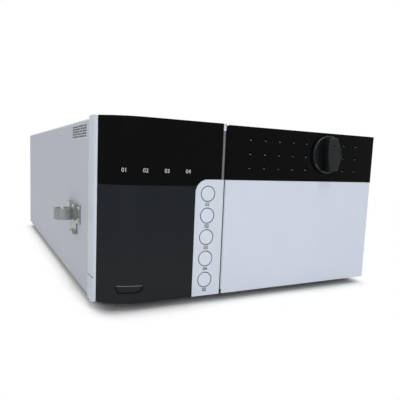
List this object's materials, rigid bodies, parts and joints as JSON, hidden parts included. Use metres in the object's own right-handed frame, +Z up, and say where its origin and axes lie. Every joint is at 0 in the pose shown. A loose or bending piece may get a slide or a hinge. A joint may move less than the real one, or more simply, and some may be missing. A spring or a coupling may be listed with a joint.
{
  "type": "liquid chromatography pump module",
  "caption": "Flat bench module that pumps solvent for liquid chromatography, with a display, keys and a hinged front door over its pump heads.",
  "frame": {"origin": "on the bench, under the middle of the bounding box", "axes": "+X to the right seen from the front, +Y from the front to the back, +Z up"},
  "size_m": [0.277, 0.435, 0.1403],
  "materials": {
    "white_plastic": "fine satin moulding",
    "black_gloss": "polished",
    "black_satin": "satin",
    "grey_trim": "satin",
    "knob_plastic": "satin moulding",
    "key_plastic": "satin",
    "button_plastic": "satin",
    "cover_paint": "fine textured paint",
    "panel_paint": "fine textured paint",
    "bracket_steel": "black paint",
    "plated_steel": "plated",
    "steel": "machined",
    "screw_steel": "turned",
    "magnet": "ground",
    "cast_alloy": "as cast",
    "black_iron": "black paint",
    "supply_case": "mill finish",
    "board_green": "solder mask",
    "black_plastic": "moulded",
    "grey_plastic": "moulded",
    "clear_plastic": "clear tinted",
    "rubber": "matte"
  },
  "bodies": {
    "case": {"base_chassis": "plated_steel", "board_standoffs": "plated_steel", "display_module": "black_plastic", "display_window": "black_gloss", "door_magnet": "magnet", "drain_valve": "steel", "drive_housing": "cast_alloy", "drive_motor": "black_iron", "fan_frame": "black_plastic", "feet": "rubber", "front_bezel": "white_plastic", "head_screws": "screw_steel", "hinge_bracket_bottom": "bracket_steel", "hinge_bracket_top": "bracket_steel", "hinge_pins": "steel", "inlet_valve_left": "steel", "inlet_valve_right": "steel", "key_board": "board_green", "key_plate": "white_plastic", "leak_sensor": "black_plastic", "leak_tray": "grey_plastic", "line_filter": "steel", "link_connector": "plated_steel", "lower_panel": "black_satin", "main_board": "board_green", "outlet_manifold": "steel", "outlet_valve_left": "steel", "outlet_valve_right": "steel", "power_inlet": "black_plastic", "power_supply": "supply_case", "power_switch": "black_plastic", "pressure_sensor": "plated_steel", "pump_head_left": "steel", "pump_head_right": "steel", "rear_panel": "cover_paint", "rear_screws": "screw_steel", "ring_screws": "screw_steel", "top_cover": "cover_paint", "tube_filter": "steel", "tube_outlet": "steel", "tube_ring": "clear_plastic", "tube_sensor": "steel", "tube_valve": "steel", "wet_panel": "panel_paint", "window_trim": "grey_trim"},
    "door": {"door_shell": "white_plastic", "door_band": "black_gloss", "door_strike": "plated_steel"},
    "drain_knob": {"drain_knob": "knob_plastic", "drain_stem": "steel"},
    "power_button": {"power_button": "button_plastic"},
    "fan_rotor": {"fan_rotor": "black_plastic"},
    "key_1": {"key_1": "key_plastic"},
    "key_2": {"key_2": "key_plastic"},
    "key_3": {"key_3": "key_plastic"},
    "key_4": {"key_4": "key_plastic"},
    "key_5": {"key_5": "key_plastic"}
  },
  "joints": [
    {"name": "door_hinge", "type": "hinge", "parent": "case", "child": "door", "pos_m": [-0.019, -0.2046, 0.0728], "axis": [0, 0, -1], "range_deg": [0, 100]},
    {"name": "drain_turn", "type": "hinge", "parent": "case", "child": "drain_knob", "pos_m": [0.0803, -0.2075, 0.1208], "axis": [0, -1, 0], "range_deg": [0, 180]},
    {"name": "power_press", "type": "slide", "parent": "case", "child": "power_button", "axis": [0, 1, 0], "range_m": [0, 0.0022], "stiffness_N_per_m": 250, "springref_m": -0.001},
    {"name": "fan_spin", "type": "hinge", "parent": "case", "child": "fan_rotor", "pos_m": [-0.0595, 0.2025, 0.08], "axis": [0, 1, 0], "continuous": true},
    {"name": "key_press_1", "type": "slide", "parent": "case", "child": "key_1", "axis": [0, 1, 0], "range_m": [0, 0.001], "stiffness_N_per_m": 400, "springref_m": -0.0005},
    {"name": "key_press_2", "type": "slide", "parent": "case", "child": "key_2", "axis": [0, 1, 0], "range_m": [0, 0.001], "stiffness_N_per_m": 400, "springref_m": -0.0005},
    {"name": "key_press_3", "type": "slide", "parent": "case", "child": "key_3", "axis": [0, 1, 0], "range_m": [0, 0.001], "stiffness_N_per_m": 400, "springref_m": -0.0005},
    {"name": "key_press_4", "type": "slide", "parent": "case", "child": "key_4", "axis": [0, 1, 0], "range_m": [0, 0.001], "stiffness_N_per_m": 400, "springref_m": -0.0005},
    {"name": "key_press_5", "type": "slide", "parent": "case", "child": "key_5", "axis": [0, 1, 0], "range_m": [0, 0.001], "stiffness_N_per_m": 400, "springref_m": -0.0005}
  ]
}
